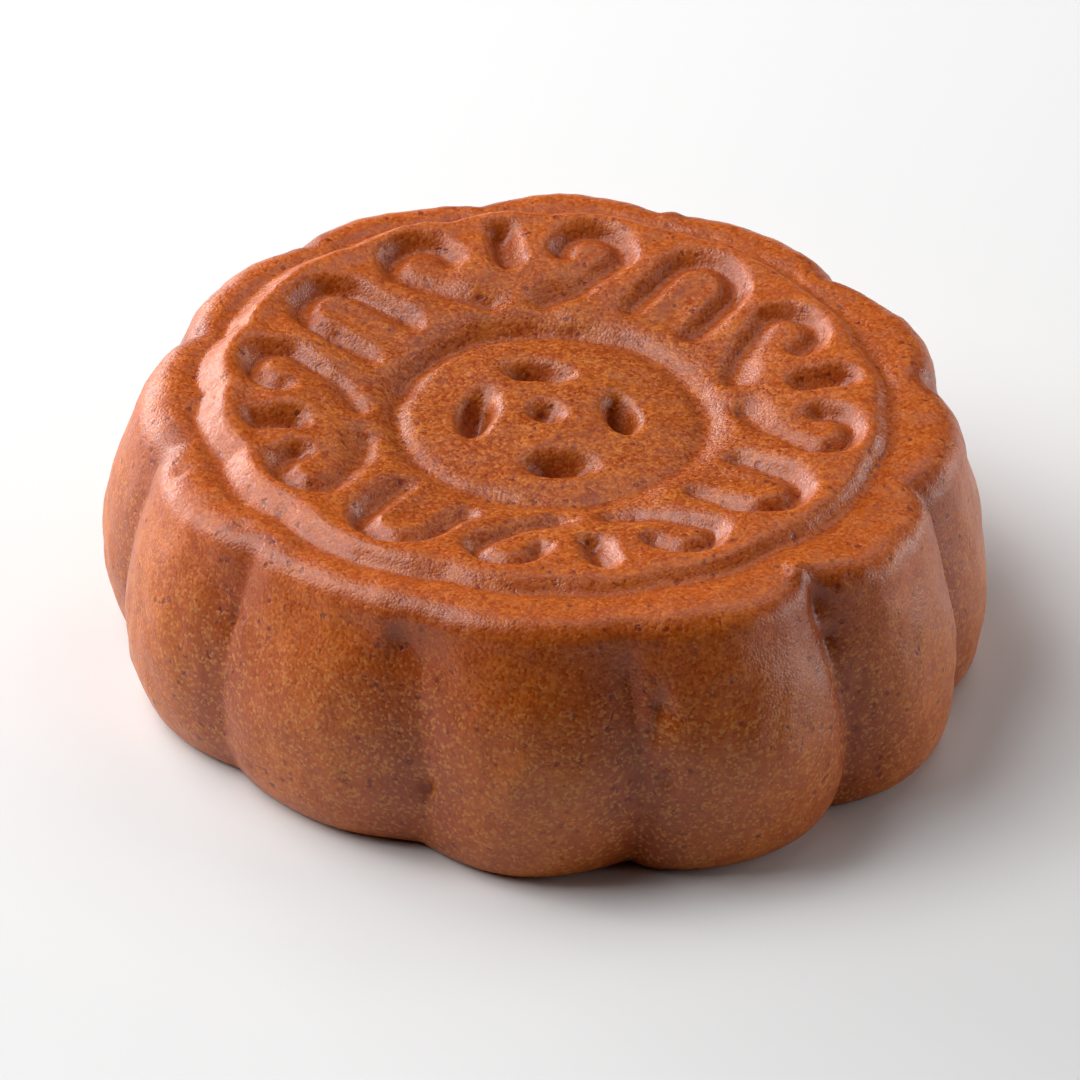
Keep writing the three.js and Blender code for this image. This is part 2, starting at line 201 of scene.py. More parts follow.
@dataclass(frozen=True)
class Drum:
    """The lobed body of the cake, without what is stamped on its top.

    The groove start and the swell start are shares of the height, down from the ledge, over
    which a groove gets its full depth and a lobe its swell at the belly.
    """

    ledge_height: float = 21.0
    front: float = 270.0
    front_puff: float = 0.8
    wall_radius: float = 32.9
    edge_round: float = 2.9
    front_crisp: float = 1.1
    front_inward: float = 1.3
    belly_radius: float = 35.0
    belly_height: float = 7.7
    foot_radius: float = 31.8
    foot_fullness: float = 0.415
    groove_share: float = 0.055
    first_groove: float = 192.5
    swell: tuple = (0.1, -0.2, -0.2, -0.3, -0.2, 0.1, 0.1, 0.5, 0.7, -0.1, -1.2, -0.2)
    top_swell: tuple = (0.1, -0.2, -0.2, -0.3, -0.2, 0.1, 0.1, 0.5, 0.1, -0.2, -1.2, -0.2)
    grooves: tuple = (
        Groove(0.1, 1.0, 0.8, 0.6),
        Groove(0.08),
        Groove(),
        Groove(),
        Groove(),
        Groove(),
        Groove(),
        Groove(0.03, 1.0, 0.38, 0.8),
        Groove(0.04, 1.05, 0.55, 0.9, 3.8),
        Groove(0.12, 1.05, 1.0, 0.5, 2.4, 0.45),
        Groove(0.05, 1.4, 1.35, 1.0, 2.0, 0.5),
        Groove(0.08, 1.1, 1.0, 0.5, 0.0, 0.85),
    )
    top_shift: tuple = (-0.5, 0.2)
    belly_shift: tuple = (-0.4, -0.5)
    edge_share: float = 0.16
    upper_share: float = 0.56
    bow_power: float = 1.6
    groove_start: float = 0.2
    swell_start: float = 0.5

    def arch(self, angle: Array, height: Array) -> tuple:
        """Find where directions lie among the lobes.

        Args:
            angle: directions in radians.
            height: heights over the base.

        Returns:
            How far each place's lobe stands out, the height on the lobe from 0 in a groove to 1
            in the middle, and the depth of the nearer groove.
        """
        count = len(self.grooves)
        turn = (math.radians(self.first_groove) - angle) / (2 * math.pi)
        place = np.mod(turn * count, count)
        bows = [groove.bow * count / 360 for groove in (*self.grooves, self.grooves[0])]
        down = 1 - np.clip(height / self.ledge_height, 0, 1)
        bowed = np.interp(place, range(count + 1), bows) * np.sin(np.pi * down**self.bow_power)
        place = np.mod(place + bowed, count)
        lobe = np.floor(place).astype(int) % count
        part = place - np.floor(place)
        nearer = np.where(part < 0.5, lobe, (lobe + 1) % count)
        banks = np.array([(g.softness, g.depth, g.left, g.right, g.top) for g in self.grooves])
        soft, depth, left, right, at_ledge = banks[nearer].T
        depth = depth * (at_ledge + (1 - at_ledge) * smooth(down / self.groove_start))
        rise = np.sqrt(np.sin(np.pi * part) ** 2 + soft**2) - soft
        arch = (rise / (np.sqrt(1 + soft**2) - soft)) ** np.where(part < 0.5, left, right)
        belly, top = np.array(self.swell)[lobe], np.array(self.top_swell)[lobe]
        return top + (belly - top) * smooth(down / self.swell_start), arch, depth

    def lobed(self, radius: Array, angle: Array, height: Array) -> Array:
        """Turn a round radius into the lobed one.

        Args:
            radius: round radii.
            angle: directions in radians.
            height: heights over the base.

        Returns:
            Lobed radii.
        """
        swell, arch, depth = self.arch(angle, height)
        return radius * (1 - self.groove_share * depth * (1 - arch)) + swell * arch

    def lean(self, height: Array) -> tuple:
        """How far the cake's axis lies off the middle of its foot.

        Args:
            height: heights over the base.

        Returns:
            The shifts to the right and to the back.
        """
        up = height / self.ledge_height
        belly = 4 * up * (1 - up)
        return tuple(t * up + b * belly for t, b in zip(self.top_shift, self.belly_shift))

    def frontness(self, angle: Array) -> Array:
        """How much directions face the front, from 0 at the sides to 1."""
        return np.maximum(0, facing(angle, self.front)) ** 2

    def puff(self, angle: Array) -> Array:
        """How much higher the ledge stands in some directions."""
        return self.front_puff * self.frontness(angle)

    def edge(self, angle: Array) -> Array:
        """Radius of the rounded top edge in directions; it is crisper at the front."""
        return self.edge_round - self.front_crisp * self.frontness(angle)

    def wall(self, angle: Array) -> Array:
        """Radius of the wall below that edge in directions; it stands further in at the front."""
        return self.wall_radius - self.front_inward * self.frontness(angle)

    def side(self, share: Array, angle: Array) -> tuple:
        """Follow the side from the ledge down to the foot.

        Args:
            share: how far down the side, from 0 at the ledge to 1 at the base.
            angle: directions in radians.

        Returns:
            Round radii and heights.
        """
        edge_share, upper_share = self.edge_share, self.upper_share
        edge, wall = self.edge(angle), self.wall(angle)
        wall_top = self.ledge_height - edge
        turn = np.clip(share / edge_share, 0, 1) * math.pi / 2
        down = np.clip((share - edge_share) / (upper_share - edge_share), 0, 1)
        under = np.clip((share - upper_share) / (1 - upper_share), 0, 1) * math.pi / 2
        radius = wall - edge * (1 - np.sin(turn))
        radius = radius + (self.belly_radius - wall) * np.sin(down * math.pi / 2)
        fullness = np.clip(np.cos(under), 0, 1) ** self.foot_fullness
        radius = radius - (self.belly_radius - self.foot_radius) * (1 - fullness)
        height = wall_top + edge * np.cos(turn)
        height = height + (self.belly_height - wall_top) * down - self.belly_height * np.sin(under)
        return radius, height * (1 + self.puff(angle) / self.ledge_height)

    def side_places(self, share: Array, angle: Array) -> Array:
        """Find places on the side.

        Args:
            share: how far down the side, from 0 at the ledge to 1 at the base.
            angle: directions in radians.

        Returns:
            Rows of x, y and z in millimetres.
        """
        radius, height = self.side(share, angle)
        lobed = self.lobed(radius, angle, height)
        lean_x, lean_y = self.lean(height)
        return np.column_stack([lobed * np.cos(angle) + lean_x, lobed * np.sin(angle) + lean_y, height])


class Motif(Enum):
    """The two motifs that take turns round the boss."""

    CLOUD = "two curls with a slot between them"
    TONGUE = "a tongue in a U-shaped channel"


@dataclass(frozen=True)
class Channel:
    """A pressed channel: its middle line, and how its two walls stand off from it."""

    line: tuple
    width: float
    outer_soft: float
    inner_soft: float
    press: float = 1.0

    def depth(self, out: Array, side: Array) -> Array:
        """How deep the channel is, from 0 to 1.

        Args:
            out: places away from the middle of the cake.
            side: places to the left of the motif's axis.

        Returns:
            Depths.
        """
        away, left = chain_distance(out, side, self.line)
        soft = np.where(left, self.inner_soft, self.outer_soft)
        return self.press * (1 - smooth((away - self.width + soft) / (2 * soft)))


@dataclass(frozen=True)
class Dent:
    """One dent of the boss."""

    x: float
    y: float
    length: float
    width: float
    turn: float
    depth: float


@dataclass(frozen=True)
class Stamp:
    """The moulded relief of the top. Places are measured from the middle of the drum's top.

    Legs and rise are pairs: where something starts to come in, and over what distance it does.
    """

    drum: Drum
    pattern_shift: tuple = (0.0, 0.64)
    dish: tuple = (
        (0.0, -0.45),
        (8.5, -0.7),
        (11.0, -0.95),
        (12.3, -1.3),
        (14.4, -0.4),
        (18.0, 0.15),
        (22.5, 0.85),
    )
    dish_blur: float = 0.6
    dish_rise: float = 0.5
    rise: tuple = (14.0, 12.0)
    crease: tuple = (0.35, 0.3, 125)
    crease_radius: float = 12.2
    crease_width: float = 0.75
    rim_radius: float = 27.35
    rim_shift: tuple = (-0.75, 0.3)
    rim_oval: float = 0.2
    rim_scallop: tuple = (0.5, 0.3, 180)
    rim_soft: float = 0.3
    rim_fullness: float = 0.6
    rim_cusps: tuple = (-28.3, -9.5, 9.5, 28.3, 61.7)
    crest: tuple = (1.15, 0.3, 200)
    rim_slope: tuple = (1.9, 0.5, 165)
    rim_inner_slope: float = 1.9
    channel_depth: float = 0.3
    channel_width: float = 0.8
    # how far the rim channel and the crease count as hollow, for painted shade and pits
    ring_hollow: float = 0.6
    motif_angle: float = 11.2
    motif_count: int = 8
    motif_depth: float = 1.5
    head_press: float = 0.25
    leg_press: float = 0.72
    legs: tuple = (15.0, 7.0)
    squeeze: float = 1.3
    squeeze_side: float = 290.0
    slot: tuple = (20.4, 23.4)
    curl: tuple = (20.3, 6.9)
    curl_round: float = 2.45
    curl_from: float = -78.0
    curl_to: float = 115.0
    curl_tail: tuple = ((16.2, 5.2), (15.2, 2.2))
    tongue: tuple = (15.8, 20.7)
    tongue_side: float = 2.95
    dents: tuple = (
        Dent(-5.8, -0.1, 3.4, 1.4, 79, 3.0),
        Dent(5.5, 0.4, 2.8, 1.35, 100, 3.0),
        Dent(-1.2, 5.8, 2.8, 1.5, 172, 2.4),
        Dent(0.9, -6.8, 3.0, 1.7, 6, 2.8),
        Dent(-0.5, 0.1, 1.7, 1.6, 0, 1.6),
    )
    dent_reach: float = 1.25

    def channels(self) -> dict:
        """Lay out the channels of each motif.

        Returns:
            A list of channels for each motif; a cloud's are mirrored to its other side.
        """
        curl = arc(*self.curl, self.curl_round, self.curl_from, self.curl_to)
        start, bend = self.tongue
        tongue = [(start, -self.tongue_side)]
        tongue += arc(bend, 0, self.tongue_side, -90, 90)
        tongue += [(start, self.tongue_side)]
        slot = tuple((out, 0.0) for out in self.slot)
        return {
            Motif.CLOUD: [
                Channel(tuple(curl) + self.curl_tail, width=0.7, outer_soft=0.95, inner_soft=1.6),
                self.head((self.curl, self.curl_tail[0])),
                Channel(slot, width=0.95, outer_soft=0.95, inner_soft=0.95),
            ],
            Motif.TONGUE: [
                Channel(tuple(tongue), width=0.7, outer_soft=0.95, inner_soft=1.3),
                self.head(((start, 0.0), (bend, 0.0))),
            ],
        }

    def head(self, line: tuple) -> Channel:
        """The shallow hollow along the middle of a curl or a tongue."""
        return Channel(line, width=1.5, outer_soft=1.3, inner_soft=1.3, press=self.head_press)

    def motifs(self, x: Array, y: Array) -> Array:
        """Find how deep the motifs' channels are.

        Args:
            x: places to the right of the middle of the pattern.
            y: places behind it.

        Returns:
            Depths from 0 to 1.
        """
        depth = np.zeros(np.shape(x))
        channels = self.channels()
        for i in range(self.motif_count):
            motif = Motif.TONGUE if i % 2 else Motif.CLOUD
            angle = math.radians(self.motif_angle + i * 360 / self.motif_count)
            out = x * math.cos(angle) + y * math.sin(angle)
            side = y * math.cos(angle) - x * math.sin(angle)
            if motif is Motif.CLOUD:
                side = np.abs(side)
            outer = rising(out, *self.legs)
            share = self.leg_press + (1 - self.leg_press) * outer
            squeezed = self.squeeze * max(0.0, facing(angle, self.squeeze_side)) ** 2
            out = out + squeezed * outer
            for channel in channels[motif]:
                depth = np.maximum(depth, share * channel.depth(out, side))
        return depth

    def dented(self, x: Array, y: Array) -> Array:
        """Find how deep the boss's dents are.

        Args:
            x: places to the right of the middle of the drum's top.
            y: places behind it.

        Returns:
            Depths in millimetres.
        """
        depth = np.zeros(np.shape(x))
        for dent in self.dents:
            turn = math.radians(dent.turn)
            dx, dy = x - dent.x, y - dent.y
            along = (dx * math.cos(turn) + dy * math.sin(turn)) / dent.length
            across = (dy * math.cos(turn) - dx * math.sin(turn)) / dent.width
            away = np.hypot(along, across) / self.dent_reach
            depth = np.maximum(depth, dent.depth * (1 - smooth(away)))
        return depth

    def petal(self, angle: Array) -> Array:
        """Find how far the rim's scallops stand out; they repeat with each pair of motifs.

        Args:
            angle: directions in radians.

        Returns:
            Levels from 0 in a cusp to 1.
        """
        first = self.rim_cusps[0]
        repeat = 2 * 360 / self.motif_count
        within = np.mod(np.degrees(angle) - self.motif_angle - first, repeat) + first
        part = np.interp(within, self.rim_cusps, range(len(self.rim_cusps)))
        rise = np.sqrt(np.sin(np.pi * part) ** 2 + self.rim_soft**2) - self.rim_soft
        return (rise / (math.hypot(1, self.rim_soft) - self.rim_soft)) ** self.rim_fullness

    def relief(self, x: Array, y: Array) -> tuple:
        """Shape the top.

        Args:
            x: places to the right of the middle of the drum's top.
            y: places behind it.

        Returns:
            Heights over the ledge plane, and how hollow the places are, from 0 to 1; the
            crust's colour is darkened as painted shade where it is hollow.
        """
        px, py = x - self.pattern_shift[0], y - self.pattern_shift[1]
        angle, radius = np.arctan2(py, px), np.hypot(px, py)
        rim = self.rim_radius + self.rim_shift[0] * np.cos(angle) + self.rim_shift[1] * np.sin(angle)
        rim = rim + self.rim_oval * np.cos(2 * angle)
        rim = rim - towards(angle, *self.rim_scallop) * (1 - self.petal(angle))
        slope_width = towards(angle, *self.rim_slope)
        crest_height = towards(angle, *self.crest)
        crest = rim - slope_width
        puff = self.drum.puff(angle) * rising(radius, *self.rise)
        down = smooth((radius - crest) / slope_width)
        channel = self.channel_depth * np.exp(-(((radius - rim) / self.channel_width) ** 2))
        outside = crest_height + (puff - crest_height) * down - channel
        from_boss = np.hypot(x, y)
        places, heights = zip(*self.dish)
        around = [from_boss + shift * self.dish_blur for shift in (-1, -0.5, 0, 0.5, 1)]
        floor = np.mean([np.interp(place, places, heights) for place in around], axis=0)
        floor = floor + self.dish_rise * puff
        in_crease = np.exp(-(((from_boss - self.crease_radius) / self.crease_width) ** 2))
        floor = floor - towards(angle, *self.crease) * in_crease
        up = smooth((radius - crest) / self.rim_inner_slope + 1)
        inside = floor + (crest_height - floor) * up
        pressed = self.motif_depth * self.motifs(px, py) + self.dented(x, y)
        height = np.where(radius >= crest, outside, inside - pressed)
        # painted shade: pockets, dents, the rim channel and the crease count as hollow
        rings = np.where(radius >= crest, channel / self.channel_depth, in_crease)
        return height, np.clip(pressed * (radius < crest) + self.ring_hollow * rings, 0, 1)


@dataclass(frozen=True)
class Tear:
    """A small place on the side or the edge where the crust was pulled in or stands out."""

    angle: float
    share: float
    size: float
    push: float

    def pull(self, places: Array, drum: Drum) -> Array:
        """Find how far the tear moves places.

        Args:
            places: rows of x, y and z in the drum's frame.
            drum: the body that is torn.

        Returns:
            Rows of movements.
        """
        angle = np.array([math.radians(self.angle)])
        middle = drum.side_places(np.array([self.share]), angle)
        near = 1 - smooth(np.linalg.norm(places - middle, axis=1) / self.size)
        tilt = min(1.0, self.share / drum.edge_share) * math.pi / 2
        out = np.array([np.cos(angle[0]), np.sin(angle[0]), 0]) * math.sin(tilt)
        return near[:, None] * self.push * (out + np.array([0, 0, math.cos(tilt)]))


@dataclass(frozen=True)
class Swelling:
    """One size of the unevenness that baking leaves in a crust."""

    name: str
    size: float
    height: float

    def add(self, cake: bpy.types.Object, group: str) -> None:
        """Push the crust in and out.

        Args:
            cake: the cake, in object mode.
            group: the vertex group that may move.
        """
        clouds = bpy.data.textures.new(self.name, "CLOUDS")
        clouds.noise_scale = self.size * MM
        clouds.noise_depth = 1
        bpy.ops.object.modifier_add(type="DISPLACE")
        push = cake.modifiers[-1]
        push.texture = clouds
        push.texture_coords = "LOCAL"
        push.strength = self.height * MM
        push.vertex_group = group
        bpy.ops.object.modifier_apply(modifier=push.name)


@dataclass(frozen=True)
class Baking:
    """What baking did to the cleanly moulded shape.

    Up to the height that is still, nothing moves, and from the loose height on all of it does.
    """

    drift: float = 0.22
    drift_size: float = 5.0
    drift_seed: int = 5
    tears: tuple = (
        Tear(312.0, 0.03, 1.6, 0.7),
        Tear(314.0, 0.14, 1.5, -0.9),
        Tear(314.8, 0.26, 1.1, -1.0),
        Tear(318.0, 0.42, 0.9, -0.6),
        Tear(249.5, 0.2, 2.0, -0.7),
        Tear(255.0, 0.6, 1.1, -1.2),
        Tear(287.0, 0.31, 1.2, -1.2),
        Tear(286.0, 0.37, 0.9, -0.9),
        Tear(287.5, 0.5, 1.3, -1.0),
        Tear(222.0, 0.3, 1.0, -0.8),
        Tear(217.0, 0.02, 1.2, -0.4),
        Tear(200.0, 0.03, 1.0, -0.35),
        Tear(72.0, 0.04, 1.3, 0.6),
    )
    swellings: tuple = (
        Swelling("slumps", 13.0, 0.8),
        Swelling("blisters", 3.6, 0.36),
        Swelling("lumps", 1.6, 0.09),
        Swelling("crumbs", 0.8, 0.03),
    )
    still: float = 1.0
    loose: float = 4.0
    softening: int = 7
    weights: int = 10

    def drifted(self, x: Array, y: Array) -> tuple:
        """Shift places a little, so that what is stamped there wanders.

        Args:
            x: places to the right.
            y: places behind.

        Returns:
            The shifted places.
        """
        noise.seed_set(self.drift_seed)
        size = self.drift_size
        shifts = np.array([noise.noise_vector((a, b, 0.0)) for a, b in zip(x / size, y / size)])
        return x + self.drift * shifts[:, 0], y + self.drift * shifts[:, 1]

    def swell(self, cake: bpy.types.Object) -> None:
        """Make the crust uneven, but leave the base flat.

        Args:
            cake: the active object, in object mode.
        """
        heights = read_places(cake.data)[:, 2] / MM
        group = cake.vertex_groups.new(name="loose")
        free = rising(heights, self.still, self.loose - self.still)
        steps = np.round(free * self.weights).astype(int)
        for step in range(1, self.weights + 1):
            group.add(np.flatnonzero(steps == step).tolist(), step / self.weights, "REPLACE")
        bpy.ops.object.modifier_add(type="SMOOTH")
        soften = cake.modifiers[-1]
        soften.factor = 0.5
        soften.iterations = self.softening
        soften.vertex_group = "loose"
        bpy.ops.object.modifier_apply(modifier=soften.name)
        for swelling in self.swellings:
            swelling.add(cake, "loose")


@dataclass(frozen=True)
class Nodes:
    """Adds shader nodes to one material."""

    tree: bpy.types.NodeTree

    def feed(self, socket: Socket, value: Value) -> None:
        """Give a socket what another node makes, or a plain number or colour.

        Args:
            socket: the socket that takes it.
            value: a node's output, a number, or three parts of a colour.
        """
        if isinstance(value, bpy.types.NodeSocket):
            self.tree.links.new(value, socket)
        elif isinstance(value, tuple):
            socket.default_value = (*value, 1)
        else:
            socket.default_value = value

    def noise(self, place: Socket, scale: float, detail: float) -> Socket:
        """Add a noise texture.

        Args:
            place: coordinates in metres.
            scale: how many features there are in a metre.
            detail: how many finer noises are added to it.

        Returns:
            Its level.
        """
        made = self.tree.nodes.new("ShaderNodeTexNoise")
        made.inputs["Scale"].default_value = scale
        made.inputs["Detail"].default_value = detail
        self.feed(made.inputs["Vector"], place)
        return made.outputs["Fac"]

    def cells(self, place: Socket, scale: float) -> tuple:
        """Add grains that fill space.

        Args:
            place: coordinates in metres.
            scale: how many grains there are along a metre.

        Returns:
            The distance from the middle of a grain, and two random levels of the grain.
        """
        made = self.tree.nodes.new("ShaderNodeTexVoronoi")
        made.inputs["Scale"].default_value = scale
        self.feed(made.inputs["Vector"], place)
        parts = self.tree.nodes.new("ShaderNodeSeparateColor")
        self.feed(parts.inputs[0], made.outputs["Color"])
        return made.outputs["Distance"], parts.outputs["Red"], parts.outputs["Green"]

    def ramp(self, level: Socket, colors: tuple, places: tuple) -> Socket:
        """Add a ramp through three colours.

        Args:
            level: where on the ramp.
            colors: the three colours.
            places: their places on the ramp.

        Returns:
            Its colour.
        """
        made = self.tree.nodes.new("ShaderNodeValToRGB")
        stops = made.color_ramp.elements
        stops.new(0.5)
        for stop, place, color in zip(stops, places, colors):
            stop.position = place
            stop.color = (*color, 1)
        self.feed(made.inputs["Fac"], level)
        return made.outputs["Color"]

    def step(self, level: Socket, low: float, high: float) -> Socket:
        """Add a soft step.

        Args:
            level: what is stepped.
            low: level where the step is 0.
            high: level where it is 1.

        Returns:
            The step's level.
        """
        made = self.tree.nodes.new("ShaderNodeMapRange")
        made.interpolation_type = "SMOOTHSTEP"
        made.inputs["From Min"].default_value = low
        made.inputs["From Max"].default_value = high
        self.feed(made.inputs["Value"], level)
        return made.outputs["Result"]

    def times_plus(self, level: Value, factor: Value, addend: Value = 0.0) -> Socket:
        """Add a multiplication and an addition.

        Args:
            level: what is multiplied.
            factor: what it is multiplied by.
            addend: what is added then.

        Returns:
            The result.
        """
        made = self.tree.nodes.new("ShaderNodeMath")
        made.operation = "MULTIPLY_ADD"
        for socket, value in zip(made.inputs, (level, factor, addend)):
            self.feed(socket, value)
        return made.outputs["Value"]

    def blend(self, share: Value, first: Value, second: Value) -> Socket:
        """Mix two colours.

        Args:
            share: share of the second one.
            first: the first colour.
            second: the second colour.

        Returns:
            The mixed colour.
        """
        made = self.tree.nodes.new("ShaderNodeMix")
        made.data_type = "RGBA"
        for i, value in zip(MIX_INPUTS, (share, first, second)):
            self.feed(made.inputs[i], value)
        return made.outputs[MIX_OUTPUT]

    def bump(self, level: Socket, height: float, under: Optional[Socket] = None) -> Socket:
        """Add a bump over another one.

        Args:
            level: level of the bumps.
            height: millimetres from level 0 to level 1, below zero for hollows.
            under: normal of the bumps that these ones lie on.

        Returns:
            The bumps' normal.
        """
        made = self.tree.nodes.new("ShaderNodeBump")
        made.inputs["Distance"].default_value = abs(height) * MM
        made.invert = height < 0
        self.feed(made.inputs["Height"], level)
        if under is not None:
            self.feed(made.inputs["Normal"], under)
        return made.outputs["Normal"]


@dataclass(frozen=True)
class Levels:
    """What the crust's colour and bumps are made of; each starts from 0."""

    lowness: Socket
    outwards: Socket
    # hollow: where painted shade darkens the crust, and where pits gather
    hollow: Socket
    off_middle: Socket
    shade: Socket
    luck: Socket
    crumb: Socket
    blotch: Socket
    pits: Socket


@dataclass(frozen=True)
class CrustFinish:
    """Baked brown crust with a thin wash.

    Boss and ring are radii, and top and belly are heights, in millimetres, and so are the
    heights of the bumps. Grain, crumb, blotch and pitted are features in a metre. A pair is
    where a soft step begins and ends. A share is how much of a colour covers what is under it,
    and what is named low is added to it towards the belly.
    """

    flesh: tuple = (0.385, 0.069, 0.002)
    dark: tuple = (0.24, 0.026, 0.001)
    pale: tuple = (0.60, 0.165, 0.025)
    # red is the colour of the crust's red blotches, and also the painted shade laid over hollows and
    # the grooves' banks
    red: tuple = (0.29, 0.042, 0.002)
    gold: tuple = (0.50, 0.120, 0.006)
    speck: tuple = (0.66, 0.29, 0.07)
    pit: tuple = (0.19, 0.017, 0.001)
    outer: tuple = (0.62, 0.108, 0.002)
    boss: float = 14.0
    ring: float = 25.0
    top: float = 20.5
    belly: float = 12.0
    grain: float = 4200.0
    crumb: float = 1400.0
    blotch: float = 330.0
    pitted: float = 900.0
    detail: float = 3.0
    speckle_mix: float = 0.5
    speckle_places: tuple = (0.26, 0.5, 0.74)
    tint_places: tuple = (0.38, 0.5, 0.62)
    tint_share: float = 0.35
    tint_low: float = 0.25
    gold_low: float = 0.25
    outer_share: float = 0.3
    outer_low: float = -0.16
    # painted shade: how far hollows and the banks beside the side's grooves are darkened towards red
    painted_shade_in_hollows: float = 0.5
    pits_in_hollows: float = 0.15
    clusters: tuple = (0.48, 0.58)
    pit_wander: float = 0.8
    pit_edge: tuple = (0.69, 0.47)
    pit_share: float = 0.9
    lucky: tuple = (0.6, 1.0)
    speck_share: float = 0.12
    speck_low: float = 0.38
    unlucky: tuple = (0.35, 0.0)
    unlucky_share: float = 0.3
    crumb_height: float = 0.03
    grain_height: float = -0.028
    pit_height: float = -0.03
    roughness: float = 0.42
    roughness_spread: float = 0.24
    gloss: float = 0.42
    wash: float = 0.12
    wash_roughness: float = 0.25

    def levels(self, nodes: Nodes) -> Levels:
        """Make the levels that the colour and the bumps read.

        Args:
            nodes: where the nodes are added.

        Returns:
            The levels: how low on the side, how far out on the top, how hollow, the four of the
            grains and crumbs, the blotches, and the pits in their clusters.
        """
        place = nodes.tree.nodes.new("ShaderNodeTexCoord").outputs["Object"]
        split = nodes.tree.nodes.new("ShaderNodeSeparateXYZ")
        nodes.feed(split.inputs[0], place)
        x, y, z = (split.outputs[name] for name in "XYZ")
        square = nodes.times_plus(x, x, nodes.times_plus(y, y))
        # the hollow levels: painted shade darkens the crust there, and pits gather there
        layer = nodes.tree.nodes.new("ShaderNodeAttribute")
        layer.attribute_name = "hollow"
        hollow = layer.outputs["Fac"]
        off_middle, shade, luck = nodes.cells(place, self.grain)
        crumb = nodes.noise(place, self.crumb, self.detail)
        blotch = nodes.noise(place, self.blotch, self.detail)
        close = nodes.times_plus(hollow, self.pits_in_hollows, blotch)
        off_pit = nodes.times_plus(crumb, self.pit_wander, nodes.cells(place, self.pitted)[0])
        in_pit = nodes.step(off_pit, *self.pit_edge)
        return Levels(
            lowness=nodes.step(z, self.top * MM, self.belly * MM),
            outwards=nodes.step(square, (self.boss * MM) ** 2, (self.ring * MM) ** 2),
            hollow=hollow,
            off_middle=off_middle,
            shade=shade,
            luck=luck,
            crumb=crumb,
            blotch=blotch,
            pits=nodes.times_plus(in_pit, nodes.step(close, *self.clusters)),
        )

    def color(self, nodes: Nodes, at: Levels) -> Socket:
        """Lay the colours over each other, from the flesh to the dark grains.

        Args:
            nodes: where the nodes are added.
            at: the crust's levels.

        Returns:
            The crust's colour.
        """
        mix = self.speckle_mix
        speckle = nodes.times_plus(at.shade, mix, nodes.times_plus(at.crumb, mix))
        flesh = nodes.ramp(speckle, (self.dark, self.flesh, self.pale), self.speckle_places)
        tint = nodes.ramp(at.blotch, (self.red, self.flesh, self.gold), self.tint_places)
        tinted = nodes.times_plus(at.lowness, self.tint_low, self.tint_share)
        color = nodes.blend(tinted, flesh, tint)
        color = nodes.blend(nodes.times_plus(at.lowness, self.gold_low), color, self.gold)
        paler = nodes.times_plus(at.lowness, self.outer_low, self.outer_share)
        color = nodes.blend(nodes.times_plus(at.outwards, paler), color, self.outer)
        # painted shade: hollows and the banks beside the grooves are darkened towards red
        color = nodes.blend(nodes.times_plus(at.hollow, self.painted_shade_in_hollows), color, self.red)
        color = nodes.blend(nodes.times_plus(at.pits, self.pit_share), color, self.pit)
        speckled = nodes.times_plus(at.lowness, self.speck_low, self.speck_share)
        specks = nodes.times_plus(nodes.step(at.luck, *self.lucky), speckled)
        color = nodes.blend(specks, color, self.speck)
        dark_grains = nodes.times_plus(nodes.step(at.luck, *self.unlucky), self.unlucky_share)
        return nodes.blend(dark_grains, color, self.pit)

    def normal(self, nodes: Nodes, at: Levels) -> Socket:
        """Lay the bumps of the crumbs, the grains and the pits over each other.

        Args:
            nodes: where the nodes are added.
            at: the crust's levels.

        Returns:
            The bumps' normal.
        """
        crumbs = nodes.bump(at.crumb, self.crumb_height)
        grains = nodes.bump(at.off_middle, self.grain_height, crumbs)
        return nodes.bump(at.pits, self.pit_height, grains)

    def material(self) -> bpy.types.Material:
        """Build the material.

        Returns:
            The finished material.
        """
        made = bpy.data.materials.new(SLOT)
        made.use_nodes = True
        nodes = Nodes(made.node_tree)
        shader = made.node_tree.nodes["Principled BSDF"]
        shader.inputs["Specular IOR Level"].default_value = self.gloss
        shader.inputs["Coat Weight"].default_value = self.wash
        shader.inputs["Coat Roughness"].default_value = self.wash_roughness
        levels = self.levels(nodes)
        spread = self.roughness_spread
        roughness = nodes.times_plus(levels.luck, spread, self.roughness - spread / 2)
        normal = self.normal(nodes, levels)
        nodes.feed(shader.inputs["Base Color"], self.color(nodes, levels))
        nodes.feed(shader.inputs["Roughness"], roughness)
        nodes.feed(shader.inputs["Normal"], normal)
        nodes.feed(shader.inputs["Coat Normal"], normal)
        return made


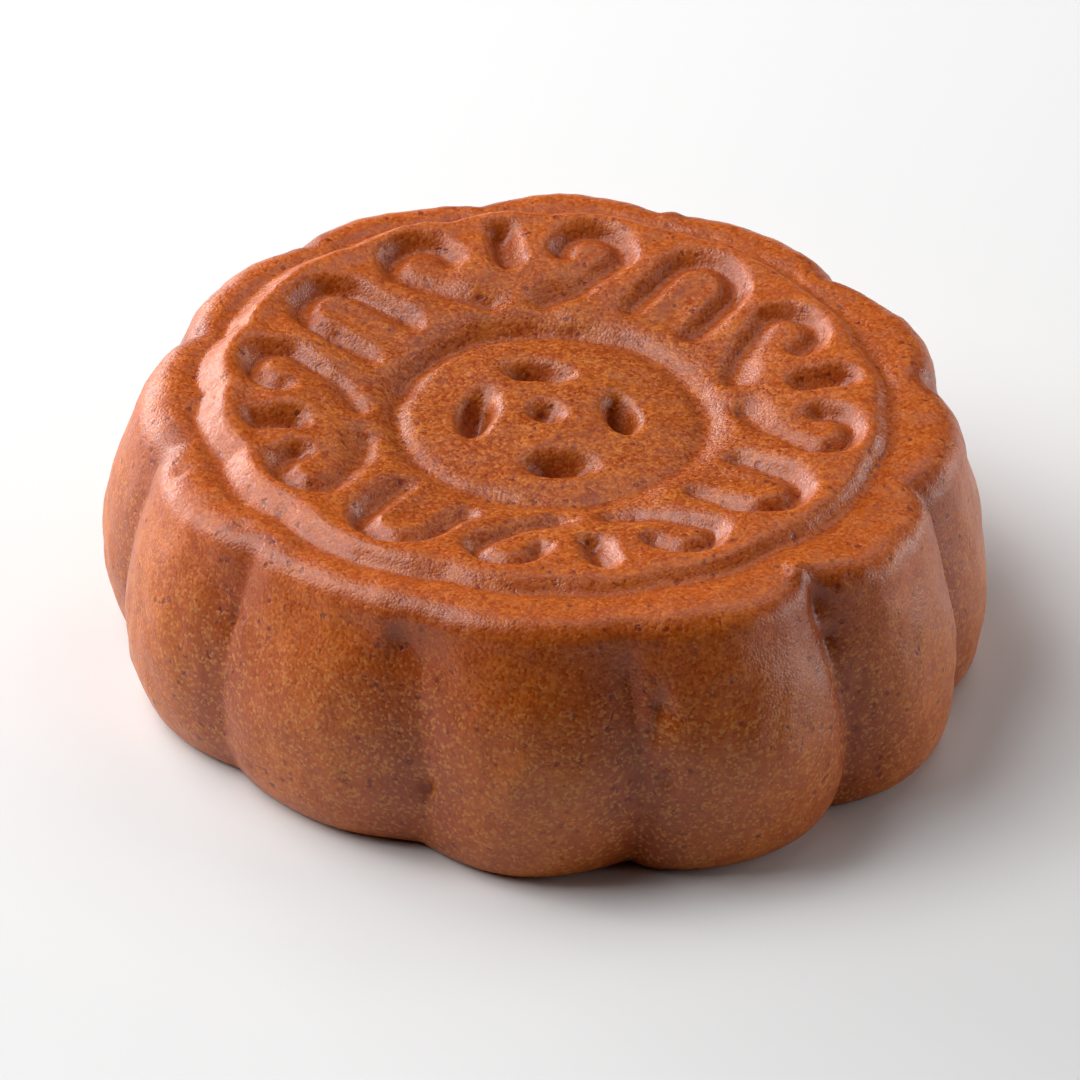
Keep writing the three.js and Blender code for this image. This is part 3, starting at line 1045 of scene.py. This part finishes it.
@dataclass
class Mooncake:
    """The whole cake as one fine mesh.

    It starts as a box, with its lid at height 0 and its floor at -1; the lid level and the floor
    level tell their vertices from those of the walls. The lobes and the ledge come in on the top
    by pairs: from what share of the way out, and over what share.
    """

    drum: Drum
    stamp: Stamp
    baking: Baking
    finish: CrustFinish
    top_cells: int = 220
    side_rows: int = 45
    base_rings: tuple = (0.96, 0.75)
    inset: float = 0.01
    # how far the side's grooves and their banks count as hollow, for painted shade and pits
    groove_hollow: float = 1.5
    groove_bank: float = 1.25
    lobes_in: tuple = (0.82, 0.18)
    ledge_in: tuple = (0.95, 0.05)
    lid_level: float = -1e-6
    floor_level: float = -0.9999

    def blank(self) -> bpy.types.Object:
        """Make a box of squares: its lid becomes the top, its walls the side, its floor the base.

        Returns:
            The box, two units wide and one deep, with its lid at height 0.
        """
        bpy.ops.object.select_all(action="DESELECT")
        bpy.ops.mesh.primitive_grid_add(
            x_subdivisions=self.top_cells, y_subdivisions=self.top_cells, size=2
        )
        box = bpy.context.object
        box.name = box.data.name = "mooncake_crust"
        bpy.ops.object.mode_set(mode="EDIT")
        bpy.ops.mesh.select_mode(type="EDGE")
        bpy.ops.mesh.select_all(action="SELECT")
        bpy.ops.mesh.region_to_loop()
        bpy.ops.mesh.extrude_region_move(TRANSFORM_OT_translate={"value": (0, 0, -1)})
        pick_edges(box.data, lambda edge: abs(edge.verts[0].co.z - edge.verts[1].co.z) > 0.5)
        bpy.ops.mesh.subdivide(number_cuts=self.side_rows - 1)
        level = self.floor_level
        pick_edges(box.data, lambda edge: all(vertex.co.z < level for vertex in edge.verts))
        width = 1.0
        for ring in self.base_rings:
            bpy.ops.mesh.extrude_region_move()
            scale = ring / width
            bpy.ops.transform.resize(value=(scale, scale, 1))
            width = ring
        bpy.ops.mesh.edge_face_add()
        bpy.ops.mesh.poke()
        bpy.ops.mesh.select_all(action="SELECT")
        bpy.ops.mesh.normals_make_consistent(inside=False)
        bpy.ops.object.mode_set(mode="OBJECT")
        return box

    def wrap(self, places: Array) -> tuple:
        """Turn places on the box into places on the cake.

        Args:
            places: one row of three box coordinates for each vertex.

        Returns:
            The same rows in millimetres, in the drum's own frame, and how hollow each place is,
            which the crust's colour darkens as painted shade.
        """
        u, v, w = places.T
        width = np.maximum(np.abs(u), np.abs(v))
        safe = np.maximum(width, 1e-9)
        wide = np.abs(u) >= np.abs(v)
        eighth = math.pi / 4
        sideways = np.where(u >= 0, 0.0, math.pi) + eighth * v * np.sign(u) / safe
        upward = np.where(v >= 0, 0.5, 1.5) * math.pi - eighth * u * np.sign(v) / safe
        angle = np.where(wide, sideways, upward)
        lid, floor = w > self.lid_level, w < self.floor_level
        shaped = self.drum.side_places(-w, angle)
        _, arch, depth = self.drum.arch(angle, shaped[:, 2])
        # painted shade: the banks beside each groove count as hollow, so the crust is darkened where
        # they turn from the light
        hollow = self.groove_hollow * np.clip(depth, 0, 1) * smooth(self.groove_bank * (1 - arch))
        shaped[lid], hollow[lid] = self.top_places(width[lid], angle[lid])
        shaped[floor] *= width[floor, None]
        shaped = shaped + sum(tear.pull(shaped, self.drum) for tear in self.baking.tears)
        return shaped, hollow

    def top_places(self, share: Array, angle: Array) -> tuple:
        """Places on the stamped top.

        Args:
            share: how far out, from 0 in the middle to 1 at the start of the rounded edge.
            angle: directions in radians.

        Returns:
            Rows of x, y and z in millimetres, and how hollow each place is, which the crust's
            colour darkens as painted shade.
        """
        drum = self.drum
        round_radius = share * (drum.wall(angle) - drum.edge(angle))
        to_lobes = rising(share, *self.lobes_in)
        lobed = drum.lobed(round_radius, angle, drum.ledge_height)
        radius = round_radius + (lobed - round_radius) * to_lobes
        x, y = radius * np.cos(angle), radius * np.sin(angle)
        puff = drum.puff(angle)
        relief, hollow = self.stamp.relief(*self.baking.drifted(x, y))
        ledge = rising(share, *self.ledge_in)
        z = drum.ledge_height + relief + (puff - relief) * ledge
        return np.column_stack([x + drum.top_shift[0], y + drum.top_shift[1], z]), hollow

    def fit(self, cake: bpy.types.Object) -> None:
        """Bring the mesh into the solid's box.

        Args:
            cake: the cake, in object mode.
        """
        places = read_places(cake.data)
        low, high = places.min(0), places.max(0)
        box_low, box_high = (np.array(corner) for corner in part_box(NODE))
        room = box_high - box_low - 2 * self.inset * MM
        scale = np.minimum(1.0, room / (high - low))
        middle, box_middle = (low + high) / 2, (box_low + box_high) / 2
        places[:, :2] = box_middle[:2] + (places[:, :2] - middle[:2]) * scale[:2]
        places[:, 2] = (places[:, 2] - low[2]) * scale[2]
        write_places(cake.data, places)

    def build(self) -> bpy.types.Object:
        """Make the cake's mesh and put it where the solid stands.

        Returns:
            The finished piece.
        """
        cake = self.blank()
        shaped, hollow = self.wrap(read_places(cake.data))
        write_places(cake.data, shaped * MM)
        # the hollow levels go to the material, which darkens them as painted shade
        layer = cake.data.attributes.new("hollow", "FLOAT", "POINT")
        layer.data.foreach_set("value", hollow)
        bpy.ops.object.shade_smooth()
        self.baking.swell(cake)
        self.fit(cake)
        cake.data.materials.clear()
        cake.data.materials.append(self.finish.material())
        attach(cake, "root")
        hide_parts(NODE)
        return cake


@dataclass(frozen=True)
class SoftBox:
    """A square soft light."""

    name: str
    azimuth: float
    elevation: float
    distance: float
    size: float
    power: float
    color: tuple = (1.0, 1.0, 1.0)

    def build(self, aim: Vector) -> None:
        """Hang the light and turn it to the cake.

        Args:
            aim: the point it shines at, in metres.
        """
        a, e = math.radians(self.azimuth), math.radians(self.elevation)
        back = Vector((math.cos(a) * math.cos(e), math.sin(a) * math.cos(e), math.sin(e)))
        lamp = bpy.data.lights.new(self.name, "AREA")
        lamp.shape = "SQUARE"
        lamp.size = self.size
        lamp.energy = self.power
        lamp.color = self.color
        holder = bpy.data.objects.new(self.name, lamp)
        holder.location = aim + back * self.distance
        holder.rotation_euler = back.to_track_quat("Z", "Y").to_euler()
        bpy.context.collection.objects.link(holder)


@dataclass(frozen=True)
class Studio:
    """Floor, light and camera round the cake."""

    aim: tuple = (-0.38, -2.05, 10.0)
    elevation: float = 35.309
    roll: float = 2.195
    distance: float = 709.0
    lens: float = 300.0
    sensor: float = 36.0
    floor_width: float = 4.0
    paper: tuple = (0.8, 0.8, 0.8)
    paper_roughness: float = 0.9
    lights: tuple = (
        SoftBox("left_window", 180, 35, 0.6, 0.3, 1.55),
        SoftBox("left_top", 180, 60, 0.6, 0.3, 1.15),
        SoftBox("back_left_strip", 150, 12, 0.6, 0.3, 1.9),
        SoftBox("back_strip", 126, 11, 0.6, 0.3, 1.7),
        SoftBox("back_left_top", 150, 60, 0.6, 0.3, 1.15),
        SoftBox("right_strip", 0, 7, 0.6, 0.3, 1.1),
        SoftBox("back_right_strip", 30, 7, 0.6, 0.3, 1.2),
        SoftBox("back_right_top", 60, 55, 0.6, 0.3, 0.54),
    )
    sky_seen: float = 1.0
    sky_light: float = 0.0

    def build(self) -> None:
        """Make the floor, the lights, the sky and the camera."""
        aim = Vector(self.aim) * MM
        self.floor()
        for light in self.lights:
            light.build(aim)
        self.sky()
        bpy.context.scene.view_settings.view_transform = "Standard"
        self.camera(aim)

    def floor(self) -> None:
        """Lay a wide floor of pale paper under the cake."""
        bpy.ops.object.select_all(action="DESELECT")
        bpy.ops.mesh.primitive_plane_add(size=self.floor_width)
        floor = bpy.context.object
        floor.name = "studio_floor"
        paper = bpy.data.materials.new("pale_paper")
        paper.use_nodes = True
        shader = paper.node_tree.nodes["Principled BSDF"]
        shader.inputs["Base Color"].default_value = (*self.paper, 1)
        shader.inputs["Roughness"].default_value = self.paper_roughness
        floor.data.materials.append(paper)

    def sky(self) -> None:
        """Make a sky that the camera sees white but that lights nothing."""
        sky = bpy.data.worlds.new("studio_sky")
        sky.use_nodes = True
        nodes, links = sky.node_tree.nodes, sky.node_tree.links
        nodes["Background"].inputs["Color"].default_value = (1, 1, 1, 1)
        path = nodes.new("ShaderNodeLightPath")
        level = nodes.new("ShaderNodeMapRange")
        level.inputs["To Min"].default_value = self.sky_light
        level.inputs["To Max"].default_value = self.sky_seen
        links.new(path.outputs["Is Camera Ray"], level.inputs["Value"])
        links.new(level.outputs["Result"], nodes["Background"].inputs["Strength"])
        bpy.context.scene.world = sky

    def camera(self, aim: Vector) -> None:
        """Set the camera at the front, looking down on the cake.

        Args:
            aim: the point in the middle of the picture, in metres.
        """
        e, roll = math.radians(self.elevation), math.radians(self.roll)
        back = Vector((0, -math.cos(e), math.sin(e)))
        level = Vector((1, 0, 0))
        upright = back.cross(level)
        right = math.cos(roll) * level + math.sin(roll) * upright
        up = math.cos(roll) * upright - math.sin(roll) * level
        lens = bpy.data.cameras.new("camera")
        lens.lens = self.lens
        lens.sensor_width = self.sensor
        lens.clip_start = 0.01
        view = bpy.data.objects.new("camera", lens)
        turn = Matrix((right, up, back)).transposed().to_4x4()
        view.matrix_world = Matrix.Translation(aim + back * self.distance * MM) @ turn
        bpy.context.collection.objects.link(view)
        bpy.context.scene.camera = view


def main() -> None:
    """Build the cake and the studio."""
    logging.basicConfig(level=logging.INFO, format="%(name)s: %(message)s")
    drum = Drum()
    cake = Mooncake(drum, Stamp(drum), Baking(), CrustFinish()).build()
    LOG.info("%s has %d faces", cake.name, len(cake.data.polygons))
    Studio().build()


if __name__ == "__main__":
    main()
